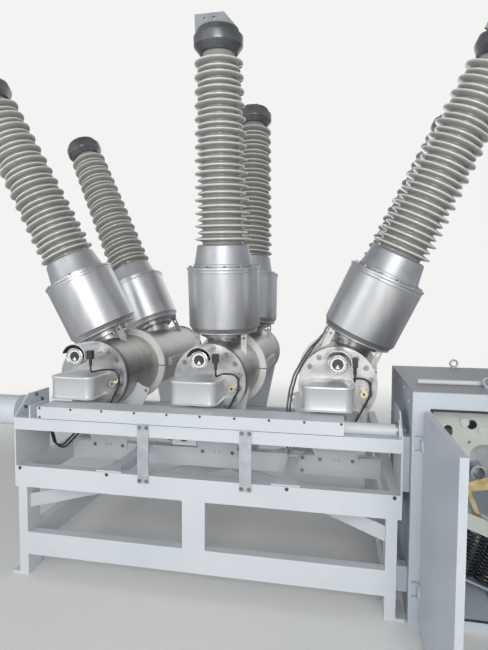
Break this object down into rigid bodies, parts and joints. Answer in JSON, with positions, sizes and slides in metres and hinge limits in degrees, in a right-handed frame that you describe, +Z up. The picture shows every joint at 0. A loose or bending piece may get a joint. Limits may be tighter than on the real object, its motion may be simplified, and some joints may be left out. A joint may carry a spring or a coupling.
{
  "type": "gas insulated breaker",
  "caption": "Dead-tank gas circuit breaker: leaning porcelain bushings on horizontal metal tanks, carried by a welded stand with a drive cabinet at one end.",
  "frame": {"origin": "centre of the foot bolt pattern, on the ground", "axes": "+X along the stand towards the drive cabinet, +Y from the front to the back, +Z up"},
  "size_m": [3.7155, 2.744, 3.3637],
  "materials": {
    "stand_paint": "satin light grey enamel",
    "cabinet_paint": "satin grey enamel",
    "cream_paint": "satin cream enamel",
    "collar_paint": "satin grey-blue paint",
    "galvanised": "zinc coated, matt",
    "brushed_alloy": "dull brushed",
    "rolled_alloy": "rolled sheet",
    "pale_alloy": "machined",
    "drawn_alloy": "drawn sheet",
    "bare_alloy": "machined",
    "gauge_steel": "turned",
    "porcelain_glaze": "gloss glaze, warm pale grey",
    "black_plastic": "matt black",
    "valve_brass": "turned",
    "spring_steel": "gloss black",
    "black_rubber": "matt black",
    "grey_rubber": "matt grey",
    "passivated_steel": "yellow passivated"
  },
  "bodies": {
    "breaker": {"stand_legs": "stand_paint", "lower_beams": "stand_paint", "mid_posts": "stand_paint", "plan_braces": "stand_paint", "cross_rails": "stand_paint", "top_rail": "stand_paint", "side_plates": "stand_paint", "side_members": "stand_paint", "frame_ties": "stand_paint", "rail_straps": "galvanised", "linkage_cover": "stand_paint", "linkage_stub": "stand_paint", "drive_tube": "stand_paint", "spring_tube": "stand_paint", "tanks": "brushed_alloy", "end_covers": "brushed_alloy", "clamp_rings": "pale_alloy", "tank_cradles": "stand_paint", "lifting_lugs": "brushed_alloy", "ct_housings": "rolled_alloy", "collars": "collar_paint", "porcelains": "porcelain_glaze", "end_caps": "collar_paint", "terminals": "bare_alloy", "crank_boxes": "drawn_alloy", "gauges": "gauge_steel", "gauge_hoods": "drawn_alloy", "gauge_plugs": "black_plastic", "fill_valves": "valve_brass", "side_trays": "galvanised", "cabinet_walls": "cabinet_paint", "cabinet_back": "cabinet_paint", "cabinet_floor": "cabinet_paint", "front_frame": "cabinet_paint", "cabinet_roof": "cabinet_paint", "lifting_eyes": "galvanised", "roof_bar": "stand_paint", "cabinet_brackets": "cabinet_paint", "door_hinges": "galvanised", "mechanism_plate": "cream_paint", "closing_springs": "spring_steel", "position_indicator": "stand_paint", "gauge_leads": "black_rubber", "transformer_cables": "grey_rubber", "control_cables": "black_rubber", "cable_glands": "gauge_steel", "door_seal": "black_rubber", "mechanism_rollers": "gauge_steel", "mechanism_back": "galvanised", "charging_lever": "passivated_steel", "spring_crosshead": "cream_paint", "spring_seat": "galvanised", "pull_link": "passivated_steel"},
    "door": {"cabinet_door": "cabinet_paint"}
  },
  "joints": [
    {"name": "door_hinge", "type": "hinge", "parent": "breaker", "child": "door", "pos_m": [1.162, -0.948, 0], "axis": [0, 0, 1], "range_deg": [-25, 90]}
  ]
}
